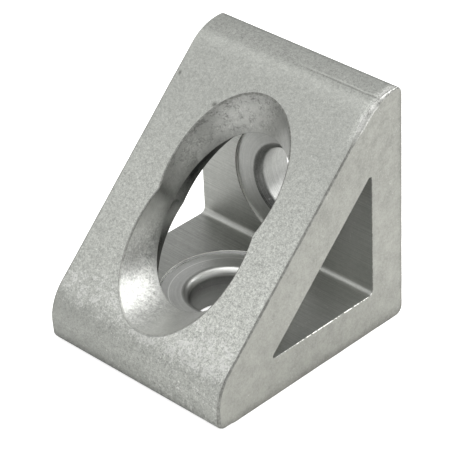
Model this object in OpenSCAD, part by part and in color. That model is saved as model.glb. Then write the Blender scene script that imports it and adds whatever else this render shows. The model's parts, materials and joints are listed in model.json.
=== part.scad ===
// Gusset corner bracket for slotted aluminium framing, in millimetres.
// A closed triangular tube is extruded along X and sawn to width. Two legs at right angles
// lie on the two frame members, and a sloped wall ties their ends together.
// One end mill plunges down and one plunges back, through the sloped wall, to spot-face each
// leg for its bolt head. Where the two cuts meet they leave the figure-eight opening.
// The origin is on the base bolt hole's axis, at the mounting face under the base leg.
// +X runs along the extrusion, -Y points to the front nose and +Z up the wall leg.

/* [Legs] */
// Width of the bracket, the sawn length of the extrusion
width = 22.5; // [18:0.5:40]
// Length of the base leg, from the back mounting face to the front of the nose
base_len = 25.4; // [24:0.2:34]
// Height of the wall leg, from the bottom mounting face to the top
wall_h = 25.4; // [24:0.2:34]
// Thickness of the base leg
base_t = 4.3; // [3:0.1:5]
// Thickness of the wall leg
wall_t = 4.3; // [3:0.1:5]

/* [Sloped wall] */
// Thickness of the sloped wall, square to its face
slope_t = 4.8; // [3.4:0.1:5.4]
// Height of the front nose, where the sloped face would meet it without rounding
nose_h = 4.3; // [3.8:0.1:5]
// Depth of the top land, where the sloped face would meet it without rounding
top_land = 3.3; // [3.3:0.1:4.4]
// Radius that blends the sloped face into the nose and into the top land
blend_r = 5.5; // [2:0.1:5.6]

/* [Edges of the extrusion] */
// Radius of the three outer corners at right angles
corner_r = 0.9; // [0.3:0.05:0.95]
// Radius of the fillet between the two legs, inside the tube
inner_r = 0.6; // [0.3:0.05:1.5]
// Radius left by the die in the two acute corners of the tube
tip_r = 0.25; // [0.1:0.05:0.5]

/* [Bolt holes] */
// Diameter of the hole through each leg
hole_d = 7.3; // [5:0.1:8]
// Radius of the rounded lip at the inner mouth of each hole
lip_r = 0.7; // [0.2:0.05:0.9]
// Distance of the base hole's axis from the back mounting face
base_hole_back = 12.7; // [12:0.1:14]
// Height of the wall hole's axis above the bottom mounting face
wall_hole_up = 11.9; // [11.4:0.1:13]

/* [Spot faces] */
// Diameter of the end mill that spot-faces both legs through the sloped wall
cutter_d = 13; // [11:0.1:13.6]
// Depth of the spot face below the inner face of its leg
spot_depth = 0.25; // [0.1:0.05:0.5]

/* [Hidden] */
$fn = 96;

// How far a cutting tool stands past the metal that it leaves
clear = 1;
// How far a round stands through the flats beside it, so that it crosses them cleanly
crossing = 0.0005;

// The outside planes of the extrusion
back_y = base_hole_back;
front_y = back_y - base_len;

// The sloped face's two ends on the outside, its direction and its inward normal
slope_low = [front_y, nose_h];
slope_high = [back_y - top_land, wall_h];
slope_dir = unit(slope_high - slope_low);
slope_in = [slope_dir[1], -slope_dir[0]];

// A point on the sloped wall's inner face, and that face's ends on the two legs
slope_inner = slope_low + slope_t * slope_in;
wall_inner_y = back_y - wall_t;
front_tip_y = slope_inner[0] + (base_t - slope_inner[1]) * slope_dir[0] / slope_dir[1];
top_tip_z = slope_inner[1] + (wall_inner_y - slope_inner[0]) * slope_dir[1] / slope_dir[0];

// The blend at each end of the sloped face, no larger than the flat beside it has room for
nose_blend_r = min(blend_r, (nose_h - corner_r) * tan(acos([0, -1] * slope_dir) / 2));
top_blend_r = min(blend_r, (top_land - corner_r) * tan(acos([1, 0] * -slope_dir) / 2));

// Corners of the section and of its hollow, as [y, z] going round from the front
outline = [
    [front_y, 0],
    [back_y, 0],
    [back_y, wall_h],
    slope_high,
    slope_low
];
outline_radii = [corner_r, corner_r, corner_r, top_blend_r, nose_blend_r];
hollow = [
    [front_tip_y, base_t],
    [wall_inner_y, base_t],
    [wall_inner_y, top_tip_z]
];
hollow_radii = [tip_r, inner_r, tip_r];

function unit(v) = v / norm(v);

// What rounding takes off one convex corner: the kite between the round's centre, the two ends
// of its arc and the corner, grown past the outline, less the round itself
module corner_waste(before, corner, after, radius) {
    to_before = unit(before - corner);
    to_after = unit(after - corner);
    half_angle = acos(to_before * to_after) / 2;
    reach = radius / tan(half_angle);
    centre = corner + unit(to_before + to_after) * radius / sin(half_angle);
    tips = [corner + to_before * reach, corner, corner + to_after * reach];
    grown = [for (tip = tips) centre + (tip - centre) * (1 + clear / radius)];
    difference() {
        polygon(concat([centre], grown));
        translate(centre) circle(r = radius + crossing);
    }
}

// A convex polygon with each corner rounded to its own radius
module rounded_polygon(points, radii) {
    last = len(points) - 1;
    difference() {
        polygon(points);
        for (i = [0 : last]) {
            before = points[i == 0 ? last : i - 1];
            after = points[i == last ? 0 : i + 1];
            corner_waste(before, points[i], after, radii[i]);
        }
    }
}

// The extruded tube, sawn square to width, lying along X
module extrusion() {
    rotate([90, 0, 90])
        linear_extrude(height = width, center = true)
            difference() {
                rounded_polygon(outline, outline_radii);
                rounded_polygon(hollow, hollow_radii);
            }
}

// The bolt hole through one leg and the rounded lip at its inner mouth. The leg stands on its
// mounting face at Z = 0, and the mill's spot face lies at seat_z.
module bolt_hole_cut(leg_t) {
    seat_z = leg_t - spot_depth;
    hole_r = hole_d / 2;
    translate([0, 0, -clear]) cylinder(h = seat_z + 2 * clear, r = hole_r);
    rotate_extrude()
        difference() {
            translate([hole_r - lip_r / 2, seat_z - lip_r]) square(1.5 * lip_r);
            translate([hole_r + lip_r, seat_z - lip_r]) circle(r = lip_r);
        }
}

// The quarter of space that opens towards +Z from the X axis
module quarter(reach) {
    rotate([90, 0, 90])
        linear_extrude(height = 2 * reach, center = true)
            polygon([[0, 0], [reach, reach], [-reach, reach]]);
}

// What one end mill takes away, with the crossing of the two mills' axes at the origin: down
// to its spot face, seat_depth below, and up through the sloped wall to way_out above. Two
// equal mills that cross square share their walls along two mitre planes, so each mill has
// the quarter above the crossing and the quarter below it, and the other has the rest.
module mill_cut(seat_depth, way_out) {
    intersection() {
        cylinder(h = way_out, d = cutter_d);
        quarter(way_out + cutter_d);
    }
    intersection() {
        translate([0, 0, -seat_depth]) cylinder(h = seat_depth, d = cutter_d);
        mirror([0, 0, 1]) quarter(seat_depth + cutter_d);
    }
}

// Both spot-facing cuts, the base leg's from above and the wall leg's from the front
module spot_face_cuts() {
    translate([0, 0, wall_hole_up]) {
        mill_cut(wall_hole_up - (base_t - spot_depth), wall_h);
        rotate([90, 0, 0])
            mill_cut(back_y - (wall_t - spot_depth), base_len);
    }
}

// The whole bracket
module gusset_bracket() {
    color([0.67, 0.68, 0.65])
        difference() {
            extrusion();
            spot_face_cuts();
            bolt_hole_cut(base_t);
            translate([0, back_y, wall_hole_up])
                rotate([90, 0, 0])
                    bolt_hole_cut(wall_t);
        }
}

gusset_bracket();
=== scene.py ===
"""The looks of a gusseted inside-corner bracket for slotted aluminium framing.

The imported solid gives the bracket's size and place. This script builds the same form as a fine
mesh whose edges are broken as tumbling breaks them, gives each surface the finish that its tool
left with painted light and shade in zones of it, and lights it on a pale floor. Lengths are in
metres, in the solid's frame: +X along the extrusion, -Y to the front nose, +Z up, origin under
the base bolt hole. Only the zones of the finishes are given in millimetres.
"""

from __future__ import annotations

import json
import logging
import math
from collections import defaultdict
from collections.abc import Iterable, Sequence
from dataclasses import dataclass
from enum import Enum, IntEnum
from itertools import pairwise

import bmesh
import bpy
from mathutils import Matrix, Quaternion, Vector, noise
from mathutils.geometry import delaunay_2d_cdt

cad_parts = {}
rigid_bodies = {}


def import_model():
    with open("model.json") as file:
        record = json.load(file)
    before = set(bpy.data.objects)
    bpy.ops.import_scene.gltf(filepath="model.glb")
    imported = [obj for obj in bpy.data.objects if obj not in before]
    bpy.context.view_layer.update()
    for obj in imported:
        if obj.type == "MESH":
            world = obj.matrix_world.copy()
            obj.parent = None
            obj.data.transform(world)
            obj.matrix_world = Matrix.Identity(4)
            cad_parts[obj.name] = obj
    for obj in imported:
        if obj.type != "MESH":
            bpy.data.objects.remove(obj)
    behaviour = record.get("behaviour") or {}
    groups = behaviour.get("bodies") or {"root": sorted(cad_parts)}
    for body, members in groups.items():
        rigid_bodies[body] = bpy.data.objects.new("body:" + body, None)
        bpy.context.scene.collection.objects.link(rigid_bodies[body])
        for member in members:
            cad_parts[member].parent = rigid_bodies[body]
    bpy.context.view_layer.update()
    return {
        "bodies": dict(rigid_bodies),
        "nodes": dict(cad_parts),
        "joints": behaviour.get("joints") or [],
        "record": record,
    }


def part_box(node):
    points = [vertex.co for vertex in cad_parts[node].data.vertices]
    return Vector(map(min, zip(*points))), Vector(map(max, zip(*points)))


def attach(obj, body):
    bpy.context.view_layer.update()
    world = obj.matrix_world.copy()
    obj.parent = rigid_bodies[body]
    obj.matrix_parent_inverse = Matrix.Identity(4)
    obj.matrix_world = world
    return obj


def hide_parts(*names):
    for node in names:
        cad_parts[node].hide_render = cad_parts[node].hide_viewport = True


LOG = logging.getLogger("bracket")
MM = 0.001
NODE = "gusset_bracket"
BODY = "root"


class Surface(IntEnum):
    """The bracket's surfaces by the tool that made them, as slots of its mesh."""

    SKIN = 0
    SAWN = 1
    DIE = 2
    MILLED = 3
    BASE_SPOT = 4
    WALL_SPOT = 5
    BASE_BORE = 6
    WALL_BORE = 7
    BROKEN = 8


class ToolMark(Enum):
    """The direction in which a tool leaves fine lines on a surface."""

    NONE = "None"
    ALONG_TUBE = "Along Tube"
    ROUND_BASE_HOLE = "Round Base Hole"
    ROUND_WALL_HOLE = "Round Wall Hole"


@dataclass(frozen=True)
class BracketSizes:
    """The bracket's sizes, in metres: the outer ones from the solid, the rest as it was drawn."""

    half_width: float
    front_y: float
    back_y: float
    wall_h: float
    hole_r: float
    wall_hole_z: float
    base_t: float = 4.3 * MM
    wall_t: float = 4.3 * MM
    slope_t: float = 4.8 * MM
    nose_h: float = 4.3 * MM
    top_land: float = 3.3 * MM
    blend_r: float = 5.5 * MM
    corner_r: float = 0.9 * MM
    inner_r: float = 0.6 * MM
    tip_r: float = 0.25 * MM
    lip_r: float = 0.7 * MM
    cutter_r: float = 6.5 * MM
    spot_depth: float = 0.25 * MM

    @classmethod
    def from_frame(cls, frame: dict) -> BracketSizes:
        """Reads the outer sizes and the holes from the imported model.


        Returns:
            The sizes of the bracket.
        """
        low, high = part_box(NODE)
        mounts = {mount["name"]: mount for mount in frame["record"]["mounts"]}
        return cls(
            half_width=(high.x - low.x) / 2,
            front_y=low.y,
            back_y=high.y,
            wall_h=high.z,
            hole_r=mounts["base_bore"]["dims"]["r_mm"] * MM,
            wall_hole_z=mounts["wall_bore"]["pos_m"][2],
        )

    @property
    def slope_low(self) -> Vector:
        """The sloped face's lower end in (y, z), where it would meet the nose."""
        return Vector((self.front_y, self.nose_h))

    @property
    def slope_high(self) -> Vector:
        """The sloped face's upper end in (y, z), where it would meet the top land."""
        return Vector((self.back_y - self.top_land, self.wall_h))

    @property
    def slope_dir(self) -> Vector:
        """The sloped face's direction in (y, z), upwards."""
        return (self.slope_high - self.slope_low).normalized()

    @property
    def slope_out(self) -> Vector:
        """The sloped face's outward normal in (y, z)."""
        return Vector((-self.slope_dir.y, self.slope_dir.x))

    @property
    def hollow_points(self) -> tuple[Vector, Vector, Vector]:
        """Works out the hollow's corners before rounding.

        Returns:
            Its front, back and top corners in (y, z).
        """
        on_slope = self.slope_low - self.slope_t * self.slope_out
        wall_y = self.back_y - self.wall_t
        run = self.slope_dir.x / self.slope_dir.y
        front = Vector((on_slope.x + (self.base_t - on_slope.y) * run, self.base_t))
        top = Vector((wall_y, on_slope.y + (wall_y - on_slope.x) / run))
        return front, Vector((wall_y, self.base_t)), top


@dataclass(frozen=True)
class EdgeBreak:
    """How wide tumbling breaks one kind of edge, and the angle from which it counts as sharp."""

    width: float
    least_angle: float


@dataclass(frozen=True)
class EndWear:
    """How unevenly tumbling has worn the edges round the two sawn ends.

    Uneven, foot, top_right and ragged are what each effect adds to a broken edge, as shares of
    its even width. The rest say how large each effect is and where it comes up and fades.
    """

    uneven: float = 0.3
    uneven_size: float = 2.2 * MM
    foot: float = 0.9
    foot_size: float = 2.0 * MM
    foot_hold: float = 1.5
    top_right: float = 1.5
    top_from: float = 21.8 * MM
    top_steepness: float = 2.2
    top_fade: float = 2.4 * MM
    ragged: float = 0.8
    ragged_size: float = 0.7 * MM

    def width_at(self, x: float, on_edge: Vector, sizes: BracketSizes) -> float:
        """Works out how wide an end edge is worn at one place.

        Args:
            x: The place along the extrusion.
            on_edge: The place on the outline, in (y, z).
            sizes: The bracket's sizes.

        Returns:
            The width, as a share of the even broken edge's.
        """
        place = Vector((x, *on_edge))
        uneven = noise.noise(place / self.uneven_size)
        ragged = noise.noise(place / self.ragged_size)
        foot = 0.0
        if on_edge.x < sizes.front_y + self.foot_size:
            foot = min(max(self.foot_hold - on_edge.y / self.foot_size, 0.0), 1.0)
        top_right = 0.0
        if x > 0 and on_edge.x < sizes.back_y - sizes.corner_r:
            rise = (on_edge.y - self.top_from) / (sizes.wall_h - self.top_from)
            room = (sizes.back_y - sizes.corner_r - on_edge.x) / self.top_fade
            top_right = min(max(rise * self.top_steepness, 0.0), 1.0, room)
        width = 1 + self.uneven * uneven + self.foot * foot
        return width + top_right * (self.top_right + self.ragged * ragged)


# The edges that tumbling has broken, by the two surfaces that meet there. All others are left.
EDGE_BREAKS: dict[frozenset[Surface], EdgeBreak] = {
    frozenset({Surface.SKIN, Surface.SAWN}): EdgeBreak(0.16 * MM, math.radians(20)),
    frozenset({Surface.DIE, Surface.SAWN}): EdgeBreak(0.07 * MM, math.radians(20)),
    frozenset({Surface.MILLED, Surface.SKIN}): EdgeBreak(0.14 * MM, math.radians(15)),
    frozenset({Surface.MILLED, Surface.DIE}): EdgeBreak(0.06 * MM, math.radians(15)),
    frozenset({Surface.BASE_BORE, Surface.SKIN}): EdgeBreak(0.12 * MM, math.radians(20)),
    frozenset({Surface.WALL_BORE, Surface.SKIN}): EdgeBreak(0.04 * MM, math.radians(20)),
}
UNBROKEN = EdgeBreak(0.0, math.pi)
# A limit times this takes in what lies right on the limit
JUST_OVER = 1.01
# The least distance of a flat's new points from its rim, as a share of their spacing
ROOM_AT_RIM = 0.45
# The triangulation keeps only what lies inside the rim, and takes points this close as one
INSIDE_ONLY = 1
SAME_POINT = 1e-9
# Faces share their normals up to 35 degrees apart, and up to 60 on the strip of a broken edge
SMOOTH_WITHIN = math.cos(math.radians(35))
STRIP_WITHIN = math.cos(math.radians(60))


@dataclass(frozen=True)
class Run:
    """A straight or a round stretch of a section, with its points in (y, z)."""

    points: tuple[Vector, ...]
    is_round: bool


@dataclass(frozen=True)
class Section:
    """A closed outline with rounded corners, going anticlockwise round the metal in (y, z)."""

    corners: tuple[Vector, ...]
    radii: tuple[float, ...]
    edge_step: float = 0.4 * MM
    arc_step: float = 0.3 * MM
    least_arc_parts: int = 6

    def runs(self) -> list[Run]:
        """Splits the outline into its straight and round stretches.

        Returns:
            The stretches in order. Each starts at the point where the last one ends.
        """
        arcs = [self._arc(index) for index in range(len(self.corners))]
        found = []
        for index, arc in enumerate(arcs):
            found.append(Run(self._flat(arcs[index - 1][-1], arc[0]), is_round=False))
            found.append(Run(arc, is_round=True))
        return found

    def _arc(self, index: int) -> tuple[Vector, ...]:
        """Rounds one corner.

        Args:
            index: The corner's number.

        Returns:
            The points of its round.
        """
        corner = self.corners[index]
        radius = self.radii[index]
        to_before = (self.corners[index - 1] - corner).normalized()
        to_after = (self.corners[(index + 1) % len(self.corners)] - corner).normalized()
        half_angle = math.acos(to_before.dot(to_after)) / 2
        reach = radius / math.tan(half_angle)
        inward = (to_before + to_after).normalized()
        centre = corner + inward * radius / math.sin(half_angle)
        start = corner + to_before * reach - centre
        turn = math.pi - 2 * half_angle
        parts = max(self.least_arc_parts, math.ceil(radius * turn / self.arc_step))
        return tuple(
            centre + Matrix.Rotation(turn * part / parts, 2) @ start for part in range(parts + 1)
        )

    def _flat(self, start: Vector, end: Vector) -> tuple[Vector, ...]:
        """Returns evenly spaced points from start to end."""
        parts = max(1, round((end - start).length / self.edge_step))
        return tuple(start.lerp(end, part / parts) for part in range(parts + 1))


@dataclass(frozen=True)
class ProfilePoint:
    """A point of a turned profile, and the surface of the band that ends there."""

    radius: float
    height: float
    surface: Surface


def add_object(name: str, data: bpy.types.ID) -> bpy.types.Object:
    """Makes an object and links it to the scene.

    Args:
        name: The object's name.
        data: Its mesh, lamp or camera.

    Returns:
        The object.
    """
    made = bpy.data.objects.new(name, data)
    bpy.context.scene.collection.objects.link(made)
    return made


def object_from(bm: bmesh.types.BMesh, name: str) -> bpy.types.Object:
    """Makes a linked object from a bmesh, and frees the bmesh.

    Args:
        bm: The mesh under construction.
        name: The new object's name.

    Returns:
        The object, with one empty slot for each surface.
    """
    bmesh.ops.recalc_face_normals(bm, faces=bm.faces)
    mesh = bpy.data.meshes.new(name)
    bm.to_mesh(mesh)
    bm.free()
    for _ in Surface:
        mesh.materials.append(None)
    return add_object(name, mesh)


def prism(
    name: str, section: Section, half_width: float, side: Surface, end: Surface
) -> bpy.types.Object:
    """Extrudes a section along X, with each straight stretch as one flat face.

    Args:
        name: The new object's name.
        section: The outline in (y, z).
        half_width: How far the prism reaches on each side of X = 0.
        side: The surface of the long sides.
        end: The surface of the two ends.

    Returns:
        The prism.
    """
    bm = bmesh.new()
    runs = section.runs()
    rings: dict[float, list[list[bmesh.types.BMVert]]] = {}
    for x in (-half_width, half_width):
        starts = [[bm.verts.new((x, p.x, p.y)) for p in run.points[:-1]] for run in runs]
        rings[x] = [own + [starts[(i + 1) % len(starts)][0]] for i, own in enumerate(starts)]
        loop = [vert for own in starts for vert in own]
        bm.faces.new(loop).material_index = end
    for run, near, far in zip(runs, rings[-half_width], rings[half_width], strict=True):
        if run.is_round:
            faces = [(near[i], near[i + 1], far[i + 1], far[i]) for i in range(len(near) - 1)]
        else:
            faces = [(*near, *reversed(far))]
        for corners in faces:
            bm.faces.new(corners).material_index = side
    return object_from(bm, name)


def revolved(
    name: str, profile: Sequence[ProfilePoint], segments: int, place: Matrix
) -> bpy.types.Object:
    """Turns a profile about Z into a closed solid.

    Args:
        name: The new object's name.
        profile: The profile, from the axis at the bottom to the axis at the top.
        segments: The number of sides.
        place: Where the solid goes.

    Returns:
        The solid.
    """
    bm = bmesh.new()
    turns = [2 * math.pi * i / segments for i in range(segments)]
    rings = []
    for point in profile:
        if point.radius == 0:
            rings.append([bm.verts.new((0, 0, point.height))] * segments)
            continue
        around = [(point.radius * math.cos(t), point.radius * math.sin(t)) for t in turns]
        rings.append([bm.verts.new((*across, point.height)) for across in around])
    for (lower, upper), point in zip(pairwise(rings), profile[1:], strict=True):
        for i in range(segments):
            j = (i + 1) % segments
            corners = dict.fromkeys((lower[i], lower[j], upper[j], upper[i]))
            bm.faces.new(list(corners)).material_index = point.surface
    bm.transform(place)
    return object_from(bm, name)


def nearest_on(point: Vector, start: Vector, end: Vector) -> tuple[Vector, float]:
    """Finds the point of a straight side that lies nearest to another point.

    Args:
        point: The other point, in two dimensions.
        start: One end of the side.
        end: The other end.

    Returns:
        The nearest point and its distance.
    """
    along = end - start
    share = min(max((point - start).dot(along) / along.length_squared, 0.0), 1.0)
    nearest = start + along * share
    return nearest, (point - nearest).length


def lies_within(point: Vector, outline: Sequence[Vector], room: float) -> bool:
    """Tells whether a point lies inside an outline, and clear of it.

    Args:
        point: The point, in two dimensions.
        outline: The outline's corners, in order.
        room: The least distance from the point to the outline.

    Returns:
        True if the point is inside and at least room away.
    """
    inside = False
    for start, end in zip(outline, [*outline[1:], outline[0]], strict=True):
        if nearest_on(point, start, end)[1] < room:
            return False
        if (start.y > point.y) != (end.y > point.y):
            crossing = start.x + (point.y - start.y) / (end.y - start.y) * (end.x - start.x)
            inside = inside != (point.x < crossing)
    return inside


def fill_flat(bm: bmesh.types.BMesh, face: bmesh.types.BMFace, step: float) -> None:
    """Replaces one flat face of many corners with well-shaped triangles.

    Args:
        bm: The mesh that holds the face.
        face: The face, which is removed.
        step: The spacing of the new points inside it.
    """
    origin = face.calc_center_median()
    normal = face.normal.copy()
    across = normal.orthogonal().normalized()
    along = normal.cross(across)
    rim = list(face.verts)
    flat = [Vector(((v.co - origin).dot(across), (v.co - origin).dot(along))) / step for v in rim]
    count = len(flat)
    rim_edges = [(i, (i + 1) % count) for i in range(count)]
    low = [math.floor(min(point[axis] for point in flat)) for axis in (0, 1)]
    high = [math.ceil(max(point[axis] for point in flat)) for axis in (0, 1)]
    points = list(flat)
    for row in range(low[1], high[1] + 1):
        for column in range(low[0], high[0] + 1):
            # Every other row is half a step across, so that the triangles come out even
            point = Vector((column + row % 2 / 2, row))
            if lies_within(point, flat, ROOM_AT_RIM):
                points.append(point)
    places, _, triangles, sources, _, _ = delaunay_2d_cdt(
        points, rim_edges, [], INSIDE_ONLY, SAME_POINT
    )
    made = []
    for place, source in zip(places, sources, strict=True):
        if source and min(source) < count:
            made.append(rim[min(source)])
        else:
            made.append(bm.verts.new(origin + (across * place.x + along * place.y) * step))
    surface = face.material_index
    bm.faces.remove(face)
    for corners in triangles:
        bm.faces.new([made[index] for index in corners]).material_index = surface


def corner_normal(
    face: bpy.types.MeshPolygon, neighbours: Iterable[bpy.types.MeshPolygon]
) -> Vector:
    """Works out one face corner's normal, from the faces that meet smoothly there.

    Broken edges take the normal of the surface beside them, and larger faces count for more,
    so that a flat stays flat up to its edge.

    Args:
        face: The face whose corner it is.
        neighbours: All faces at that vertex, the face itself among them.

    Returns:
        The normal, of length 1.
    """
    limit = STRIP_WITHIN if face.material_index == Surface.BROKEN else SMOOTH_WITHIN
    near = [other for other in neighbours if other.normal.dot(face.normal) > limit]
    whole = [other for other in near if other.material_index != Surface.BROKEN]
    total = Vector()
    for other in whole or near:
        total += other.normal * other.area
    return total.normalized() if total.length > 0 else face.normal


@dataclass(frozen=True)
class Leg:
    """One leg as its drill and mill meet it: mounting face at Z = 0, hole's axis along Z."""

    name: str
    thickness: float
    mill_reach: float
    bore: Surface
    spot: Surface
    place: Matrix


@dataclass
class BracketMesh:
    """Builds the bracket's mesh from its extruded section, its mill cuts and its holes."""

    sizes: BracketSizes
    wear: EndWear = EndWear()
    mill_segments: int = 132
    lip_parts: int = 8
    overrun: float = 2.0 * MM
    weld: float = 0.05 * MM
    least_edge: float = 0.005 * MM
    least_broken_edge: float = 0.001 * MM
    widest_break: float = 0.16 * MM
    break_parts: int = 3
    flat_step: float = 0.7 * MM

    def build(self, name: str) -> bpy.types.Object:
        """Makes the finished mesh object.

        Args:
            name: The piece's name.

        Returns:
            The bracket, with one empty material slot for each surface.
        """
        half_width = self.sizes.half_width
        blank = prism(name, self._outline(), half_width, Surface.SKIN, Surface.SAWN)
        hollow = prism(
            "hollow", self._hollow(), half_width + self.overrun, Surface.DIE, Surface.DIE
        )
        for cutter in (hollow, *(self._leg_cutter(leg) for leg in self._legs())):
            self._cut(blank, cutter)
        self._mark_edges(blank)
        self._break_edges(blank)
        self._set_normals(blank.data)
        return blank

    def _outline(self) -> Section:
        """Draws the outside of the extrusion.

        Returns:
            The outline, from the bottom front corner.
        """
        s = self.sizes
        foot = Vector((s.front_y, 0))
        heel = Vector((s.back_y, 0))
        head = Vector((s.back_y, s.wall_h))
        radii = (s.corner_r, s.corner_r, s.corner_r, s.blend_r, s.blend_r)
        return Section((foot, heel, head, s.slope_high, s.slope_low), radii)

    def _hollow(self) -> Section:
        """Returns the inside of the extrusion."""
        s = self.sizes
        return Section(s.hollow_points, (s.tip_r, s.inner_r, s.tip_r))

    def _legs(self) -> tuple[Leg, Leg]:
        """Lists the two legs.

        Returns:
            The base leg and the wall leg.
        """
        s = self.sizes
        upright = Matrix.Rotation(math.radians(90), 4, "X")
        at_wall = Matrix.Translation((0, s.back_y, s.wall_hole_z)) @ upright
        depth = s.back_y - s.front_y
        return (
            Leg(
                "base_cut", s.base_t, s.wall_h, Surface.BASE_BORE, Surface.BASE_SPOT,
                Matrix.Identity(4),
            ),
            Leg("wall_cut", s.wall_t, depth, Surface.WALL_BORE, Surface.WALL_SPOT, at_wall),
        )

    def _leg_cutter(self, leg: Leg) -> bpy.types.Object:
        """Makes the solid that the drill and the mill take out at one leg.

        Args:
            leg: The leg.

        Returns:
            The solid, from past the mounting face to past the sloped wall.
        """
        s = self.sizes
        seat = leg.thickness - s.spot_depth
        profile = [ProfilePoint(radius, -self.overrun, leg.bore) for radius in (0, s.hole_r)]
        for part in range(self.lip_parts + 1):
            turn = math.pi - part / self.lip_parts * math.pi / 2
            radius = s.hole_r + s.lip_r * (1 + math.cos(turn))
            height = seat - s.lip_r * (1 - math.sin(turn))
            profile.append(ProfilePoint(radius, height, leg.bore))
        profile.append(ProfilePoint(s.cutter_r, seat, leg.spot))
        for radius in (s.cutter_r, 0):
            profile.append(ProfilePoint(radius, leg.mill_reach + self.overrun, Surface.MILLED))
        return revolved(leg.name, profile, self.mill_segments, leg.place)

    def _cut(self, blank: bpy.types.Object, cutter: bpy.types.Object) -> None:
        """Takes one cutter out of the blank, and removes the cutter.

        Args:
            blank: The object that is cut.
            cutter: The solid to take out.
        """
        step = blank.modifiers.new("cut", "BOOLEAN")
        step.operation = "DIFFERENCE"
        step.solver = "EXACT"
        step.material_mode = "INDEX"
        step.object = cutter
        self._apply(blank)
        bpy.data.meshes.remove(cutter.data)

    @staticmethod
    def _apply(obj: bpy.types.Object) -> None:
        """Writes an object's modifiers into its mesh.

        Args:
            obj: The object.
        """
        graph = bpy.context.evaluated_depsgraph_get()
        result = bpy.data.meshes.new_from_object(obj.evaluated_get(graph))
        obj.modifiers.clear()
        old = obj.data
        obj.data = result
        result.name = obj.name
        bpy.data.meshes.remove(old)

    def _mark_edges(self, obj: bpy.types.Object) -> None:
        """Welds what the cuts left too close, and gives each sharp edge its broken width.

        Args:
            obj: The cut bracket.
        """
        bm = bmesh.new()
        bm.from_mesh(obj.data)
        bmesh.ops.remove_doubles(bm, verts=bm.verts, dist=self.weld)
        bmesh.ops.dissolve_degenerate(bm, edges=bm.edges, dist=self.least_edge)
        weights = bm.edges.layers.float.new("bevel_weight_edge")
        for edge in bm.edges:
            if len(edge.link_faces) == 2:
                edge[weights] = self._break_width(edge) / self.widest_break
        bm.to_mesh(obj.data)
        bm.free()

    def _break_width(self, edge: bmesh.types.BMEdge) -> float:
        """Looks up how wide tumbling has broken one edge.

        Args:
            edge: The edge, between two faces.

        Returns:
            The width, or 0 for an edge that is left.
        """
        surfaces = frozenset(Surface(face.material_index) for face in edge.link_faces)
        found = EDGE_BREAKS.get(surfaces, UNBROKEN)
        return found.width if edge.calc_face_angle_signed(0) > found.least_angle else 0.0

    def _break_edges(self, obj: bpy.types.Object) -> None:
        """Rounds the marked edges and fills the flat faces with even triangles.

        Args:
            obj: The cut bracket, with its edges marked.
        """
        step = obj.modifiers.new("break", "BEVEL")
        step.limit_method = "WEIGHT"
        step.width = self.widest_break
        step.segments = self.break_parts
        step.use_clamp_overlap = False
        step.material = Surface.BROKEN
        self._apply(obj)
        bm = bmesh.new()
        bm.from_mesh(obj.data)
        bmesh.ops.dissolve_degenerate(bm, edges=bm.edges, dist=self.least_broken_edge)
        self._wear_end_edges(bm)
        for face in [face for face in bm.faces if len(face.verts) > 4]:
            fill_flat(bm, face, self.flat_step)
        loose = [edge for edge in bm.edges if not edge.link_faces]
        bmesh.ops.delete(bm, geom=loose, context="EDGES")
        bm.to_mesh(obj.data)
        bm.free()

    def _wear_end_edges(self, bm: bmesh.types.BMesh) -> None:
        """Widens and narrows the broken edges round both ends, where tumbling wore them.

        Args:
            bm: The mesh, with its edges broken evenly.
        """
        points = [point for run in self._outline().runs() for point in run.points[:-1]]
        sides = list(zip(points, [*points[1:], points[0]], strict=True))
        half_width = self.sizes.half_width
        strip = self.widest_break * JUST_OVER
        worn = {
            vert
            for face in bm.faces
            if face.material_index == Surface.BROKEN
            for vert in face.verts
            if half_width - abs(vert.co.x) < strip
        }
        for vert in worn:
            flat = vert.co.yz
            nearest, depth = min(
                (nearest_on(flat, *side) for side in sides), key=lambda found: found[1]
            )
            if depth > strip:
                continue
            width = self.wear.width_at(vert.co.x, nearest, self.sizes)
            moved = nearest + (flat - nearest) * width
            reach = half_width - (half_width - abs(vert.co.x)) * width
            vert.co = (math.copysign(reach, vert.co.x), *moved)

    @staticmethod
    def _set_normals(mesh: bpy.types.Mesh) -> None:
        """Sets smooth normals that lie square to each flat right up to its broken edge.

        Args:
            mesh: The finished mesh.
        """
        around = defaultdict(list)
        for face in mesh.polygons:
            face.use_smooth = True
            for vertex in face.vertices:
                around[vertex].append(face)
        normals: list[Vector] = [Vector((0, 0, 1))] * len(mesh.loops)
        for face in mesh.polygons:
            for loop_index in face.loop_indices:
                vertex = mesh.loops[loop_index].vertex_index
                normals[loop_index] = corner_normal(face, around[vertex])
        mesh.normals_split_custom_set(normals)


@dataclass(frozen=True)
class PhotoCamera:
    """A camera at the photograph's viewing angle. Its frame is square."""

    azimuth: float = math.radians(45.794)
    elevation: float = math.radians(33.041)
    roll: float = math.radians(-2.769)
    target: tuple[float, float, float] = (0.221 * MM, 0.0, 11.632 * MM)
    distance: float = 225.59 * MM
    lens_mm: float = 191.79
    sensor_mm: float = 36.0
    nearest: float = 1 * MM
    farthest: float = 100.0

    def add(self) -> None:
        """Makes the camera and sets it as the scene's own."""
        data = bpy.data.cameras.new("photo_camera")
        data.lens = self.lens_mm
        data.sensor_width = self.sensor_mm
        data.clip_start = self.nearest
        data.clip_end = self.farthest
        camera = add_object("photo_camera", data)
        back = Vector(
            (
                math.sin(self.azimuth) * math.cos(self.elevation),
                -math.cos(self.azimuth) * math.cos(self.elevation),
                math.sin(self.elevation),
            )
        )
        camera.location = Vector(self.target) + back * self.distance
        camera.rotation_mode = "QUATERNION"
        level = (-back).to_track_quat("-Z", "Y")
        camera.rotation_quaternion = level @ Quaternion((0, 0, 1), self.roll)
        bpy.context.scene.camera = camera


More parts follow.
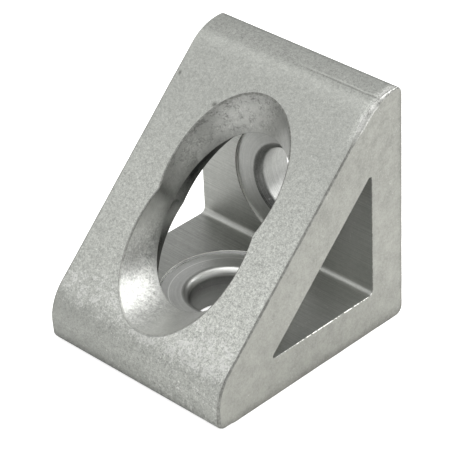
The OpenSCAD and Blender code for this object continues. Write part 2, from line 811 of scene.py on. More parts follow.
class Wires:
    """Adds nodes to one node tree and links them, a few words at a time."""

    def __init__(self, tree: bpy.types.NodeTree) -> None:
        """Keeps the tree that the nodes go into."""
        self.tree = tree

    @classmethod
    def fresh(cls, owner: bpy.types.Material | bpy.types.World) -> Wires:
        """Clears the nodes of a material or a world.

        Args:
            owner: The material or the world.

        Returns:
            The wiring of its empty tree.
        """
        owner.use_nodes = True
        owner.node_tree.nodes.clear()
        return cls(owner.node_tree)

    def node(self, kind: str, **settings: object) -> bpy.types.Node:
        """Adds a node and sets its options.

        Args:
            kind: The node's class name, without "ShaderNode".
            settings: The options to set on it.

        Returns:
            The new node.
        """
        made = self.tree.nodes.new("ShaderNode" + kind)
        for name, value in settings.items():
            setattr(made, name, value)
        return made

    def put(self, socket: bpy.types.NodeSocket, value: object) -> None:
        """Gives an input its value.

        Args:
            socket: The input.
            value: A socket to link it to, or a plain value to write there.
        """
        if isinstance(value, bpy.types.NodeSocket):
            self.tree.links.new(value, socket)
        else:
            socket.default_value = value

    def feed(self, node: bpy.types.Node, *values: object) -> bpy.types.Node:
        """Gives a node's first inputs their values, in order.

        Args:
            node: The node.
            values: The value of each input, for as many as are wanted.

        Returns:
            The same node.
        """
        for socket, value in zip(node.inputs, values, strict=False):
            self.put(socket, value)
        return node

    def fill(self, node: bpy.types.Node, **values: object) -> bpy.types.Node:
        """Gives a node's inputs their values, by name.

        Args:
            node: The node.
            values: The value of each input, with _ for a space in its name.

        Returns:
            The same node.
        """
        for name, value in values.items():
            self.put(node.inputs[name.replace("_", " ")], value)
        return node

    def math(self, operation: str, *values: object, clamp: bool = False) -> bpy.types.NodeSocket:
        """Returns the result of a Math node."""
        made = self.node("Math", operation=operation, use_clamp=clamp)
        return self.feed(made, *values).outputs[0]

    def vector(self, operation: str, *values: object) -> bpy.types.Node:
        """Returns a Vector Math node."""
        return self.feed(self.node("VectorMath", operation=operation), *values)

    def step(self, value: object, low: float, high: float) -> bpy.types.NodeSocket:
        """Returns 0 where value is under low, 1 where it is over high, smooth between."""
        made = self.node("MapRange", interpolation_type="SMOOTHSTEP")
        return self.feed(made, value, low, high, 0.0, 1.0).outputs[0]

    def split(self, vector: bpy.types.NodeSocket) -> bpy.types.NodeOutputs:
        """Returns the X, Y and Z of a vector."""
        return self.feed(self.node("SeparateXYZ"), vector).outputs

    def join(self, *parts: bpy.types.NodeSocket) -> bpy.types.NodeSocket:
        """Returns the vector with these X, Y and Z."""
        return self.feed(self.node("CombineXYZ"), *parts).outputs[0]

    def mix(self, factor: object, first: object, second: object) -> bpy.types.NodeSocket:
        """Blends two colours.

        Args:
            factor: How much of the second colour there is, from 0 to 1.
            first: The first colour.
            second: The second colour.

        Returns:
            The blend.
        """
        made = self.node("Mix", data_type="RGBA")
        colours = [socket for socket in made.inputs if socket.type == "RGBA"]
        self.put(made.inputs[0], factor)
        self.put(colours[0], first)
        self.put(colours[1], second)
        return next(socket for socket in made.outputs if socket.type == "RGBA")

    def noise(
        self, vector: object, size: object, detail: float = 3.0, roughness: float = 0.6
    ) -> bpy.types.NodeSocket:
        """Makes a noise of about 0.5 on average.

        Args:
            vector: The place that it is read at.
            size: How large its blotches are, about.
            detail: How many finer layers it has.
            roughness: How strong the finer layers are.

        Returns:
            The noise.
        """
        made = self.node("TexNoise", noise_dimensions="3D")
        scale = self.math("DIVIDE", 1.0, size)
        self.fill(made, Vector=vector, Scale=scale, Detail=detail, Roughness=roughness)
        return made.outputs["Fac"]

    def about_zero(self, value: bpy.types.NodeSocket, gain: float) -> bpy.types.NodeSocket:
        """Returns gain times what a noise has over its average of 0.5."""
        return self.math("MULTIPLY_ADD", value, gain, -gain / 2)


@dataclass(frozen=True)
class Port:
    """One input or output of a node group."""

    name: str
    value: float = 0.0
    kind: str = "Float"


class EffectGroup:
    """A node group that is built once and placed in each material that uses it."""

    name = "effect"
    inputs: tuple[Port, ...] = ()
    outputs: tuple[Port, ...] = ()

    def tree(self) -> bpy.types.NodeTree:
        """Finds the group's node tree, or builds it at its first use.

        Returns:
            The tree.
        """
        found = bpy.data.node_groups.get(self.name)
        if found is not None:
            return found
        made = bpy.data.node_groups.new(self.name, "ShaderNodeTree")
        for ports, side in ((self.inputs, "INPUT"), (self.outputs, "OUTPUT")):
            for port in ports:
                socket = made.interface.new_socket(
                    name=port.name, in_out=side, socket_type="NodeSocket" + port.kind
                )
                if side == "INPUT" and port.kind == "Float":
                    socket.default_value = port.value
        wires = Wires(made)
        given = made.nodes.new("NodeGroupInput")
        results = made.nodes.new("NodeGroupOutput")
        for name, value in self.wire(wires, given.outputs).items():
            wires.put(results.inputs[name], value)
        return made

    def wire(self, wires: Wires, given: bpy.types.NodeOutputs) -> dict[str, object]:
        """Builds the group's inside.

        Args:
            wires: The group's wiring.
            given: The group's inputs, by name.

        Returns:
            The value of each output, by name.
        """
        raise NotImplementedError

    def place(self, wires: Wires, **values: object) -> bpy.types.NodeOutputs:
        """Adds the group to a tree, with its inputs by name and _ for a space."""
        return wires.fill(wires.node("Group", node_tree=self.tree()), **values).outputs


class Axis(Enum):
    """A measure of where a point of the bracket lies, as an output of part_place."""

    X = "X"
    Y = "Y"
    Z = "Z"
    SIDE = "Side"
    MITRE = "Mitre"
    BASE_RADIUS = "Base Radius"


class PartPlace(EffectGroup):
    """Measures where a point of the bracket lies.

    Side is its distance from the middle, Mitre how far it is past the mitre planes into the
    wall mill's quarters, and Base Radius its distance from the base hole's axis. Round Base
    Hole and Round Wall Hole are its place about a hole's axis, as (arc length, radius, distance
    along the axis).
    """

    name = "part_place"
    inputs = (Port("Place", kind="Vector"), Port("Wall Hole Height", 11.9 * MM))
    outputs = (
        *(Port(axis.value) for axis in Axis),
        Port(ToolMark.ROUND_BASE_HOLE.value, kind="Vector"),
        Port(ToolMark.ROUND_WALL_HOLE.value, kind="Vector"),
    )

    def wire(self, wires: Wires, given: bpy.types.NodeOutputs) -> dict[str, object]:
        """Works out the radius and the arc length about each hole's axis.

        Args:
            wires: The group's wiring.
            given: The group's inputs, by name.

        Returns:
            The value of each output, by name.
        """
        x, y, z = wires.split(given["Place"])
        up = wires.math("SUBTRACT", z, given["Wall Hole Height"])
        side, out, rise = (wires.math("ABSOLUTE", value) for value in (x, y, up))
        mitre = wires.math("SUBTRACT", out, rise)
        radii = []
        rounds = []
        for across, along in ((y, z), (up, y)):
            squares = wires.math("MULTIPLY_ADD", across, across, wires.math("MULTIPLY", x, x))
            radii.append(wires.math("SQRT", squares))
            arc = wires.math("MULTIPLY", wires.math("ARCTAN2", across, x), radii[-1])
            rounds.append(wires.join(arc, radii[-1], along))
        values = (x, y, z, side, mitre, radii[0], *rounds)
        return {port.name: value for port, value in zip(self.outputs, values, strict=True)}


class TumbledGrain(EffectGroup):
    """The fine peening and the soft blotches that tumbling in stones leaves."""

    name = "tumbled_grain"
    inputs = (Port("Place", kind="Vector"), Port("Grain", 0.16 * MM))
    outputs = (Port("Fine"), Port("Blotch"), Port("Height"))
    middle_size = 2.6
    broad_size = 9.0
    fine_share = 0.6
    middle_share = 0.4
    broad_height = 0.6
    fine_gain = 4.0
    blotch_gain = 3.2

    def wire(self, wires: Wires, given: bpy.types.NodeOutputs) -> dict[str, object]:
        """Sums a fine, a middle and a broad noise. Fine and Blotch run from -1 to 1.

        Args:
            wires: The group's wiring.
            given: The group's inputs, by name.

        Returns:
            The value of each output, by name.
        """
        place, grain = given["Place"], given["Grain"]
        fine = wires.noise(place, grain, detail=2.0)
        middle = wires.noise(place, wires.math("MULTIPLY", grain, self.middle_size))
        broad = wires.noise(place, wires.math("MULTIPLY", grain, self.broad_size), detail=4.0)
        part = wires.math("MULTIPLY", middle, self.middle_share)
        both = wires.math("MULTIPLY_ADD", fine, self.fine_share, part)
        return {
            "Fine": wires.about_zero(both, self.fine_gain),
            "Blotch": wires.about_zero(broad, self.blotch_gain),
            "Height": wires.math("MULTIPLY_ADD", broad, self.broad_height, both),
        }


class BrightFlecks(EffectGroup):
    """Small bright flats where a stone has struck, thicker where Amount is larger."""

    name = "bright_flecks"
    inputs = (Port("Place", kind="Vector"), Port("Size", 0.2 * MM), Port("Amount", 0.3))
    outputs = (Port("Mask"),)
    patch_size = 5.0
    patch_share = 0.5
    level_of_none = 0.95
    level_drop = 0.3
    sharpness = 5.0

    def wire(self, wires: Wires, given: bpy.types.NodeOutputs) -> dict[str, object]:
        """Keeps the peaks of a noise, and more of them as Amount grows.

        Args:
            wires: The group's wiring.
            given: The group's inputs, by name.

        Returns:
            The value of each output, by name.
        """
        place, size = given["Place"], given["Size"]
        broader = wires.math("MULTIPLY", size, self.patch_size)
        peaks = wires.noise(place, size, detail=2.0)
        patches = wires.noise(place, broader, detail=2.0, roughness=0.55)
        level = wires.math("MULTIPLY_ADD", patches, self.patch_share, peaks)
        start = wires.math("MULTIPLY_ADD", given["Amount"], -self.level_drop, self.level_of_none)
        over = wires.math("SUBTRACT", level, start)
        return {"Mask": wires.math("MULTIPLY", over, self.sharpness, clamp=True)}


class ToolLines(EffectGroup):
    """Fine parallel lines left by a tool, along X of the place that is given."""

    name = "tool_lines"
    inputs = (Port("Place", kind="Vector"), Port("Spacing", 0.12 * MM), Port("Length", 8 * MM))
    outputs = (Port("Line"),)
    gain = 4.0

    def wire(self, wires: Wires, given: bpy.types.NodeOutputs) -> dict[str, object]:
        """Stretches a noise along X. Line runs from -1 to 1.

        Args:
            wires: The group's wiring.
            given: The group's inputs, by name.

        Returns:
            The value of each output, by name.
        """
        along, across, deep = wires.split(given["Place"])
        ratio = wires.math("DIVIDE", given["Spacing"], given["Length"])
        stretched = wires.join(wires.math("MULTIPLY", along, ratio), across, deep)
        lines = wires.noise(stretched, given["Spacing"])
        return {"Line": wires.about_zero(lines, self.gain)}


class MetalTone(EffectGroup):
    """Shades bare metal: darker and lighter with the tone, pale at flecks, dark at grime and at
    painted shade.
    """

    name = "metal_tone"
    inputs = (
        Port("Colour", kind="Color"),
        Port("Tone"),
        Port("Fleck"),
        Port("Dirt"),
        Port("Base Roughness", 0.45),
    )
    outputs = (Port("Colour", kind="Color"), Port("Roughness"))
    fleck_colour = (0.93, 0.93, 0.91, 1.0)
    # The dark colour of grime, which the zones also use for painted shade
    grime_and_shade_colour = (0.07, 0.07, 0.062, 1.0)
    darkest = 0.1
    fleck_roughness = -0.12
    grime_and_shade_roughness = 0.25

    def wire(self, wires: Wires, given: bpy.types.NodeOutputs) -> dict[str, object]:
        """Scales the colour by the tone, then lays flecks, and grime and painted shade, over it.

        Args:
            wires: The group's wiring.
            given: The group's inputs, by name.

        Returns:
            The value of each output, by name.
        """
        gain = wires.math("MAXIMUM", wires.math("ADD", given["Tone"], 1.0), self.darkest)
        toned = wires.fill(wires.vector("SCALE", given["Colour"]), Scale=gain)
        flecked = wires.mix(given["Fleck"], toned.outputs[0], self.fleck_colour)
        grimed_and_shaded = wires.mix(given["Dirt"], flecked, self.grime_and_shade_colour)
        rough = given["Base Roughness"]
        rough = wires.math("MULTIPLY_ADD", given["Fleck"], self.fleck_roughness, rough)
        rough = wires.math("MULTIPLY_ADD", given["Dirt"], self.grime_and_shade_roughness, rough)
        return {"Colour": grimed_and_shaded, "Roughness": rough}


@dataclass(frozen=True)
class Ramp:
    """A soft step in one measure, in millimetres: nothing at start, all of it at full."""

    axis: Axis
    start: float
    full: float


# The average of a noise's colour
NOISE_AVERAGE = (0.5, 0.5, 0.5)
# The size of the waves in a zone's wobbling outline
WOBBLE_SIZE = 1.5 * MM
# The noise values between which a zone of patches goes from none to full
PATCH_FROM = 0.42
PATCH_TO = 0.58
# How deep a tool's lines are, against the grain
LINE_DEPTH = 0.35


@dataclass(frozen=True)
class Zone:
    """A soft-edged part of a surface, and how much its look differs there.

    It is where all of its ramps are up. In many zones its tone and its grime and shade are painted
    light and shade; in others they are wear and grime. Patches breaks it up into blotches of that
    size, and wobble is how far its outline strays, both in millimetres.
    """

    ramps: tuple[Ramp, ...]
    tone: float = 0.0
    grain: float = 0.0
    flecks: float = 0.0
    grime_and_shade: float = 0.0
    # Grime in pits and worn patches, and painted shade along edges, creases and bores
    height: float = 0.0
    patches: float = 0.0
    wobble: float = 0.0

    def mask(self, wires: Wires, place: bpy.types.NodeSocket) -> bpy.types.NodeSocket:
        """Builds the zone's mask.

        Args:
            wires: The material's wiring.
            place: The point on the bracket.

        Returns:
            1 inside the zone, 0 outside it.
        """
        if self.wobble > 0:
            uneven = wires.node("TexNoise", noise_dimensions="3D")
            wires.fill(uneven, Vector=place, Scale=1 / WOBBLE_SIZE)
            centred = wires.vector("SUBTRACT", uneven.outputs["Color"], NOISE_AVERAGE)
            shift = wires.fill(wires.vector("SCALE", centred.outputs[0]), Scale=self.wobble * MM)
            place = wires.vector("ADD", place, shift.outputs[0]).outputs[0]
        measured = PartPlace().place(wires, Place=place)
        mask: object = 1.0
        for ramp in self.ramps:
            step = wires.step(measured[ramp.axis.value], ramp.start * MM, ramp.full * MM)
            mask = wires.math("MULTIPLY", mask, step)
        if self.patches > 0:
            blotches = wires.noise(place, self.patches * MM, roughness=0.65)
            mask = wires.math("MULTIPLY", mask, wires.step(blotches, PATCH_FROM, PATCH_TO))
        return mask


@dataclass(frozen=True)
class MetalFinish:
    """How one surface of the bracket was left, as the sizes and strengths of its effects. Its zones
    add wear and also painted light and shade.
    """

    name: str
    colour: tuple[float, float, float]
    roughness: float
    grain: float = 0.16 * MM
    fine: float = 0.1
    blotch: float = 0.06
    flecks: float = 0.0
    fleck_size: float = 0.2 * MM
    fleck_strength: float = 0.5
    mark: ToolMark = ToolMark.NONE
    mark_strength: float = 0.0
    mark_spacing: float = 0.12 * MM
    mark_length: float = 8 * MM
    bump: float = 0.01 * MM
    zones: tuple[Zone, ...] = ()

    def material(self) -> bpy.types.Material:
        """Builds the finish's material.

        Returns:
            The material.
        """
        made = bpy.data.materials.new(self.name)
        wires = Wires.fresh(made)
        place = wires.node("TexCoord").outputs["Object"]
        looks = self._zoned(wires, place)
        grain = TumbledGrain().place(wires, Place=place, Grain=self.grain)
        tone = wires.math("MULTIPLY_ADD", grain["Fine"], looks["grain"], looks["tone"])
        tone = wires.math("MULTIPLY_ADD", grain["Blotch"], self.blotch, tone)
        height = wires.math("ADD", grain["Height"], looks["height"])
        if self.mark is not ToolMark.NONE:
            line = self._lines(wires, place)
            tone = wires.math("MULTIPLY_ADD", line, self.mark_strength, tone)
            height = wires.math("MULTIPLY_ADD", line, LINE_DEPTH, height)
        flecks = BrightFlecks().place(
            wires, Place=place, Size=self.fleck_size, Amount=looks["flecks"]
        )
        toned = MetalTone().place(
            wires,
            Colour=(*self.colour, 1.0),
            Tone=tone,
            Fleck=wires.math("MULTIPLY", flecks["Mask"], self.fleck_strength),
            Dirt=wires.math("MAXIMUM", looks["grime_and_shade"], 0.0, clamp=True),
            Base_Roughness=self.roughness,
        )
        bump = wires.fill(wires.node("Bump"), Strength=1.0, Distance=self.bump, Height=height)
        shader = wires.fill(
            wires.node("BsdfPrincipled"),
            Base_Color=toned["Colour"],
            Metallic=1.0,
            Roughness=toned["Roughness"],
            Normal=bump.outputs[0],
        )
        wires.feed(wires.node("OutputMaterial"), shader.outputs[0])
        return made

    def _zoned(self, wires: Wires, place: bpy.types.NodeSocket) -> dict[str, object]:
        """Adds up what the zones change, over what the surface has all over.

        Args:
            wires: The material's wiring.
            place: The point on the bracket.

        Returns:
            The tone, grain, flecks, grime and painted shade, and height at that point, by name.
        """
        looks = {"tone": 0.0, "grain": self.fine, "flecks": self.flecks, "grime_and_shade": 0.0, "height": 0.0}
        for zone in self.zones:
            mask = zone.mask(wires, place)
            for look, so_far in looks.items():
                strength = getattr(zone, look)
                if strength != 0:
                    looks[look] = wires.math("MULTIPLY_ADD", mask, strength, so_far)
        return looks

    def _lines(self, wires: Wires, place: bpy.types.NodeSocket) -> bpy.types.NodeSocket:
        """Adds the tool's lines along the tube or round a hole's axis.

        Args:
            wires: The material's wiring.
            place: The point on the bracket.

        Returns:
            The lines, from -1 to 1.
        """
        if self.mark is not ToolMark.ALONG_TUBE:
            place = PartPlace().place(wires, Place=place)[self.mark.value]
        lines = ToolLines().place(
            wires, Place=place, Spacing=self.mark_spacing, Length=self.mark_length
        )
        return lines["Line"]


def ridge(axis: Axis, middle: float, half_width: float) -> tuple[Ramp, Ramp]:
    """Returns the two ramps of a narrow line at one value of a measure."""
    return (Ramp(axis, middle - half_width, middle), Ramp(axis, middle + half_width, middle))


# Ramps that several zones share, or that say more by name
IN_FRONT = Ramp(Axis.Y, 11, 6)
AT_THE_ENDS = Ramp(Axis.SIDE, 8, 10)
ROUND_OPENING = Ramp(Axis.SIDE, 10, 8)
AT_RIGHT_END = Ramp(Axis.X, 10, 10.6)
BASE_MILL = Ramp(Axis.MITRE, 0.1, -0.1)
WALL_STEP = Ramp(Axis.Y, 8.2, 8.35)
BELOW_TOP = Ramp(Axis.Z, 22.8, 21.8)
TOP_RIGHT_OF_SLOPE = (Ramp(Axis.X, 0, 5), Ramp(Axis.Z, 24, 24.6))

# Zones of the tumbled skin
# Frosting grain and flecks on the lower front, with painted light that makes it lighter there
FROSTED_AND_LIT_LOW = Zone(
    (IN_FRONT, Ramp(Axis.Z, 21, 8), Ramp(Axis.X, -12, 6)), tone=0.12, grain=0.24, flecks=0.4
)
FROSTED_AND_LIT_FRONT = Zone(
    (IN_FRONT, Ramp(Axis.Z, 22, 12), Ramp(Axis.Z, 3.6, 6)), tone=0.12, grain=0.22
)
# Painted shade darkens the nose, and its grain is finer there
SHADED_NOSE = Zone((IN_FRONT, Ramp(Axis.Z, 5.6, 3.4)), tone=-0.27, grain=-0.12)
STRUCK_BAND = Zone(
    (IN_FRONT, Ramp(Axis.Z, 4.0, 5.2), Ramp(Axis.Z, 9, 6.5)), flecks=0.8, patches=0.8
)
# Painted shade darkens the top land
SHADED_TOP_LAND = Zone((Ramp(Axis.Y, 8.8, 9.8),), tone=-0.22)
# A shallow groove along the crease, with painted shade on one side and a painted highlight on the
# other
CREASE_DARK = Zone(
    (*ridge(Axis.Y, 9.7, 0.14), *TOP_RIGHT_OF_SLOPE), grime_and_shade=0.28, height=-1.0, wobble=0.2
)
CREASE_LIGHT = Zone((*ridge(Axis.Y, 9.9, 0.14), *TOP_RIGHT_OF_SLOPE), tone=0.2, wobble=0.2)
# Painted shade on the skin beside the end edges
END_EDGE_DARK = Zone((Ramp(Axis.SIDE, 10.9, 11.08), Ramp(Axis.Z, 24, 22)), grime_and_shade=0.12)
# Wear flecks and grain with a painted highlight at the top right of the slope
TOP_RIGHT_SPARKLE = Zone(
    (Ramp(Axis.X, 9.9, 10.9), Ramp(Axis.Z, 21.2, 23.4), Ramp(Axis.Y, 12.3, 11.8)), tone=0.25,
    grain=0.3, flecks=1.0,
)
SHADED_FOOT = Zone((Ramp(Axis.Z, 1.5, 0.1),), tone=-0.25)
SHADED_BACK_ROUNDS = Zone((Ramp(Axis.Y, 11.7, 12.3), Ramp(Axis.Y, 12.69, 12.5)), tone=-0.35)
PIT_AT_LEFT = Zone(
    (IN_FRONT, *ridge(Axis.X, -10.7, 0.3), *ridge(Axis.Z, 21.7, 0.25)), grime_and_shade=0.6, height=-2.0,
    wobble=0.3,
)
NICK_AT_OPENING = Zone(
    (IN_FRONT, *ridge(Axis.X, -5.05, 0.5), *ridge(Axis.Z, 20.75, 0.3)), grime_and_shade=0.6, height=-2.0,
    wobble=0.4,
)

# Zones of the sawn ends
# Painted shade: the sawn ends darker at the foot, at the back and towards the top
SAWN_FOOT = Zone((Ramp(Axis.Z, 1.2, 0),), tone=-0.3)
SAWN_BACK = Zone((Ramp(Axis.Y, 12.0, 12.7),), tone=-0.2)
SAWN_TOP = Zone((Ramp(Axis.Z, 10, 20),), tone=-0.07)

# Zones of the drawn inside
# Painted highlight on the inner fillet, painted light on the wall at the right, painted shade on
# the base at the left
INNER_FILLET_HIGHLIGHT = Zone((Ramp(Axis.Y, 7.7, 8.1), Ramp(Axis.Z, 5.0, 4.6)), tone=0.45)
WALL_AT_RIGHT = Zone((Ramp(Axis.X, 5, 9), Ramp(Axis.Y, 8.0, 8.3)), tone=0.18)
BASE_AT_LEFT = Zone((Ramp(Axis.X, 3, -3), Ramp(Axis.Z, 4.8, 4.4)), tone=-0.12)

# Zones of the milled opening
UPPER_LEFT_SCARS = Zone(
    (Ramp(Axis.Z, 13, 16), Ramp(Axis.X, 4, 0), Ramp(Axis.MITRE, 0, -1)), tone=-0.1, grain=0.42,
    patches=1.1,
)
LOWER_LEFT_GRAIN = Zone(
    (
        Ramp(Axis.Z, 12, 9.5), Ramp(Axis.MITRE, 0, 1), Ramp(Axis.Y, -1, -3),
        Ramp(Axis.X, 1, -2),
    ),
    grain=0.45,
)
# Painted light on the lower lobe's top and the lower facet's top; painted shade on both facets, the
# upper lobe's top and the left waist
LOWER_LOBE_TOP = Zone(
    (Ramp(Axis.Y, -0.5, -2), Ramp(Axis.MITRE, 0, 0.5), Ramp(Axis.Z, 8, 10)), tone=0.25
)
UPPER_FACET = Zone((Ramp(Axis.Y, -0.5, 3), Ramp(Axis.MITRE, -0.1, 0.1)), tone=-0.7)
LOWER_FACET = Zone((Ramp(Axis.Z, 12, 11.4), BASE_MILL, Ramp(Axis.Z, 4.3, 4.6)), tone=-0.7)
LOWER_FACET_TOP = Zone((*ridge(Axis.Z, 10.3, 2.2), BASE_MILL), tone=0.7)
UPPER_LOBE_TOP = Zone((Ramp(Axis.MITRE, -2, -5), Ramp(Axis.Z, 14, 19)), tone=-0.36)
LEFT_WAIST = Zone((*ridge(Axis.MITRE, 0.2, 1.8), Ramp(Axis.X, 0, -4)), tone=-0.3)
# Painted light on the step walls round the spot faces
BASE_SPOT_STEP = Zone((Ramp(Axis.Z, 4.5, 4.35),), tone=1.2)
WALL_SPOT_STEP = Zone((WALL_STEP,), tone=0.3)
WALL_SPOT_STEP_LEFT = Zone((WALL_STEP, Ramp(Axis.X, 0, -3)), tone=1.3)

# Zones of the spot faces, the lips and the bores
BRIGHT_RING = Zone(ridge(Axis.BASE_RADIUS, 5.6, 0.1), tone=0.45)
# Painted shade in the base bore and on the front of its lip, and a painted highlight on the back of
# its lip
DARK_BASE_BORE = Zone((Ramp(Axis.Z, 0.4, 3.0), Ramp(Axis.Z, 3.5, 3.1)), tone=-0.45)
BRIGHT_LIP_BACK = Zone(
    (Ramp(Axis.Z, 3.2, 3.5), Ramp(Axis.Z, 4.05, 3.95), Ramp(Axis.Y, -3, 0)), tone=1.0
)
SHADED_LIP_FRONT = Zone((Ramp(Axis.Z, 4.1, 4.0), Ramp(Axis.Y, -1, -3)), tone=-0.3)
# Painted shade on the wall bore's lower side and on its lip
WALL_BORE_BELOW = Zone((Ramp(Axis.Z, 10.5, 9.0),), tone=-0.25)
WALL_LIP = Zone((Ramp(Axis.Y, 9.5, 9.2),), tone=-0.42)

# Zones of the worn edges
# Painted shade along the broken edges, even and in patches
SHADED_END_EDGES = Zone((AT_THE_ENDS, BELOW_TOP), grime_and_shade=0.35)
SHADE_PATCHES_AT_END_EDGES = Zone((AT_THE_ENDS, BELOW_TOP), grime_and_shade=0.25, patches=0.4)
SHADE_PATCHES_AT_OPENING = Zone((ROUND_OPENING, Ramp(Axis.Z, 4.6, 5.2)), grime_and_shade=0.25, patches=0.4)
SHADED_OPENING_EDGES = Zone((ROUND_OPENING, Ramp(Axis.Z, 6.5, 9.5)), grime_and_shade=0.3)
# Painted highlight on the low edges round the opening
BRIGHT_LOW_EDGES = Zone((ROUND_OPENING, Ramp(Axis.Z, 4.6, 4.4)), tone=0.9)
WORN_FLECKS = Zone((AT_RIGHT_END, Ramp(Axis.Z, 21.5, 23.6)), grain=0.5, flecks=0.6)
WORN_PATCHES = Zone(
    (AT_RIGHT_END, Ramp(Axis.Z, 21.5, 23.0)), tone=0.3, grime_and_shade=0.22, patches=0.2
)
# Painted shade that dims the top of the worn band, in patches
SHADED_TOP_OF_WEAR = Zone((AT_RIGHT_END, Ramp(Axis.Y, 9, 9.8)), tone=-0.5, grime_and_shade=0.42, patches=0.2)
# Painted highlight along the burr at the base leg, which also clears the painted shade of the edge
# there
BURR_AT_BASE_LEG = Zone(
    (
        Ramp(Axis.X, 10.9, 11.1), Ramp(Axis.Z, 4.8, 4.5), Ramp(Axis.Z, 3.9, 4.1),
        Ramp(Axis.Y, -8, 2),
    ),
    tone=1.2, grime_and_shade=-0.5, patches=0.3,
)

FINISHES: dict[Surface, MetalFinish] = {
    Surface.SKIN: MetalFinish(
        "tumbled_skin", (0.50, 0.51, 0.48), roughness=0.5, grain=0.13 * MM, fine=0.34,
        zones=(
            FROSTED_AND_LIT_LOW, FROSTED_AND_LIT_FRONT, SHADED_NOSE, STRUCK_BAND, SHADED_TOP_LAND, CREASE_DARK,
            CREASE_LIGHT, END_EDGE_DARK, TOP_RIGHT_SPARKLE, SHADED_FOOT, SHADED_BACK_ROUNDS,
            PIT_AT_LEFT, NICK_AT_OPENING,
        ),
    ),
    Surface.SAWN: MetalFinish(
        "tumbled_saw_cut", (0.385, 0.387, 0.358), roughness=0.52, fine=0.18, blotch=0.16,
        zones=(SAWN_FOOT, SAWN_BACK, SAWN_TOP),
    ),
    Surface.DIE: MetalFinish(
        "drawn_inside", (0.41, 0.417, 0.395), roughness=0.4, fine=0.12,
        mark=ToolMark.ALONG_TUBE, mark_strength=0.2,
        zones=(INNER_FILLET_HIGHLIGHT, WALL_AT_RIGHT, BASE_AT_LEFT),
    ),
    Surface.MILLED: MetalFinish(
        "milled_wall", (0.48, 0.485, 0.465), roughness=0.44, grain=0.18 * MM, fine=0.16,
        blotch=0.07,
        zones=(
            UPPER_LEFT_SCARS, LOWER_LEFT_GRAIN, LOWER_LOBE_TOP, UPPER_FACET, LOWER_FACET,
            UPPER_LOBE_TOP, LEFT_WAIST, LOWER_FACET_TOP, BASE_SPOT_STEP, WALL_SPOT_STEP,
            WALL_SPOT_STEP_LEFT,
        ),
    ),
    Surface.BASE_SPOT: MetalFinish(
        "base_spot_face", (0.48, 0.485, 0.47), roughness=0.36, fine=0.08,
        mark=ToolMark.ROUND_BASE_HOLE, mark_strength=0.12, zones=(BRIGHT_RING,),
    ),
    Surface.WALL_SPOT: MetalFinish(
        "wall_spot_face", (0.43, 0.435, 0.42), roughness=0.38,
        mark=ToolMark.ROUND_WALL_HOLE, mark_strength=0.12,
    ),
    Surface.BASE_BORE: MetalFinish(
        "base_lip_and_bore", (0.46, 0.465, 0.45), roughness=0.42, fine=0.05,
        mark=ToolMark.ROUND_BASE_HOLE, mark_strength=0.08,
        zones=(DARK_BASE_BORE, BRIGHT_LIP_BACK, SHADED_LIP_FRONT),
    ),
    Surface.WALL_BORE: MetalFinish(
        "wall_lip_and_bore", (0.44, 0.445, 0.43), roughness=0.48, fine=0.16,
        mark=ToolMark.ROUND_WALL_HOLE, mark_strength=0.16, zones=(WALL_BORE_BELOW, WALL_LIP),
    ),
    Surface.BROKEN: MetalFinish(
        "worn_edge", (0.45, 0.455, 0.43), roughness=0.42, fine=0.2, flecks=0.3,
        zones=(
            SHADED_END_EDGES, SHADE_PATCHES_AT_END_EDGES, SHADE_PATCHES_AT_OPENING, SHADED_OPENING_EDGES,
            BRIGHT_LOW_EDGES, WORN_FLECKS, WORN_PATCHES, BURR_AT_BASE_LEG, SHADED_TOP_OF_WEAR,
        ),
    ),
}


@dataclass(frozen=True)
class SoftBox:
    """One large soft lamp that faces the bracket."""

    name: str
    toward: tuple[float, float, float]
    distance: float
    size: float
    watts: float

    def add(self, target: Vector) -> None:
        """Makes the lamp.

        Args:
            target: The point that it faces.
        """
        data = bpy.data.lights.new(self.name, "AREA")
        data.shape = "SQUARE"
        data.size = self.size
        data.energy = self.watts
        lamp = add_object(self.name, data)
        away = Vector(self.toward).normalized()
        lamp.location = target + away * self.distance
        lamp.rotation_mode = "QUATERNION"
        lamp.rotation_quaternion = away.to_track_quat("Z", "Y")


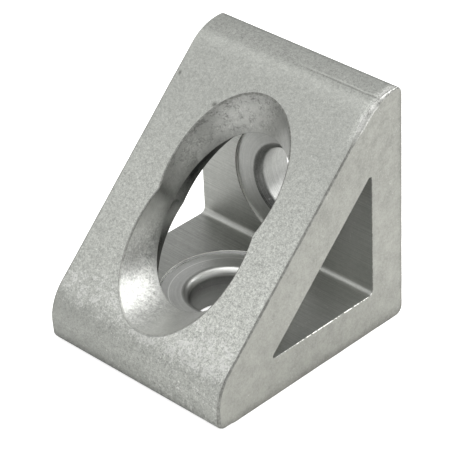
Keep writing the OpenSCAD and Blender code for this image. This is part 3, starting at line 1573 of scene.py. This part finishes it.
@dataclass(frozen=True)
class Studio:
    """A pale floor under soft lamps."""

    floor_size: float = 6.0
    floor_gap: float = 0.03 * MM
    floor_colour: tuple[float, float, float, float] = (0.8, 0.8, 0.79, 1.0)
    floor_glow: float = 0.75
    floor_shine: float = 0.24
    shine_from: float = 10 * MM
    shine_full: float = 24 * MM
    sky_low: float = 0.4
    sky_high: float = 0.8
    sky_rise: float = 0.6
    sky_colour: tuple[float, float, float, float] = (1.0, 1.0, 1.0, 1.0)
    lamp_target: tuple[float, float, float] = (0.0, 0.0, 12 * MM)
    boxes: tuple[SoftBox, ...] = (
        SoftBox("key_box", (0.42, 0.52, 0.72), distance=0.4, size=0.3, watts=1.25),
        SoftBox("front_left_box", (-0.6, -0.35, 0.72), distance=0.5, size=0.5, watts=0.1),
        SoftBox("overhead_box", (0.0, -0.15, 1.0), distance=0.5, size=0.2, watts=0.35),
    )

    def add(self) -> None:
        """Builds the floor, the lamps and the world."""
        bpy.context.scene.view_settings.view_transform = "Standard"
        self._floor()
        for box in self.boxes:
            box.add(Vector(self.lamp_target))
        self._world()

    def _floor(self) -> None:
        """Makes the floor."""
        bm = bmesh.new()
        bmesh.ops.create_grid(bm, x_segments=1, y_segments=1, size=self.floor_size / 2)
        mesh = bpy.data.meshes.new("floor")
        bm.to_mesh(mesh)
        bm.free()
        floor = add_object("floor", mesh)
        floor.location.z = -self.floor_gap
        mesh.materials.append(self._floor_material())

    def _floor_material(self) -> bpy.types.Material:
        """Builds the floor's material, which shows white. Metal sees it darker close by.

        Returns:
            The material.
        """
        made = bpy.data.materials.new("pale_floor")
        wires = Wires.fresh(made)
        away = wires.vector("LENGTH", wires.node("TexCoord").outputs["Object"]).outputs["Value"]
        # Painted shadow: the floor's glow that metal reflects fades out close to the bracket
        clear = wires.step(away, self.shine_from, self.shine_full)
        seen = wires.node("LightPath").outputs
        mirrored = wires.math("MAXIMUM", seen["Is Glossy Ray"], seen["Is Transmission Ray"])
        shine = wires.math("MULTIPLY", wires.math("MULTIPLY", mirrored, clear), self.floor_shine)
        direct = wires.math("MULTIPLY", seen["Is Camera Ray"], self.floor_glow)
        diffuse = wires.fill(wires.node("BsdfDiffuse"), Color=self.floor_colour)
        glow = wires.fill(wires.node("Emission"), Strength=wires.math("ADD", direct, shine))
        both = wires.feed(wires.node("AddShader"), diffuse.outputs[0], glow.outputs[0])
        wires.feed(wires.node("OutputMaterial"), both.outputs[0])
        return made

    def _world(self) -> None:
        """Lights the scene from the sky, which is darker towards the horizon."""
        world = bpy.data.worlds.new("studio")
        wires = Wires.fresh(world)
        up = wires.split(wires.node("TexCoord").outputs["Generated"])[2]
        rise = wires.step(up, 0.0, self.sky_rise)
        level = wires.math("MULTIPLY_ADD", rise, self.sky_high - self.sky_low, self.sky_low)
        sky = wires.fill(wires.node("Background"), Color=self.sky_colour, Strength=level)
        wires.feed(wires.node("OutputWorld"), sky.outputs[0])
        bpy.context.scene.world = world


def main() -> None:
    """Builds the bracket, its finishes and the studio round it."""
    logging.basicConfig(level=logging.INFO, format="%(name)s: %(message)s")
    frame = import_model()
    PhotoCamera().add()
    sizes = BracketSizes.from_frame(frame)
    bracket = BracketMesh(sizes).build("tumbled_bracket")
    for surface, finish in FINISHES.items():
        bracket.data.materials[surface] = finish.material()
    Studio().add()
    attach(bracket, BODY)
    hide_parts(NODE)
    LOG.info("%s: %d faces", bracket.name, len(bracket.data.polygons))


if __name__ == "__main__":
    main()
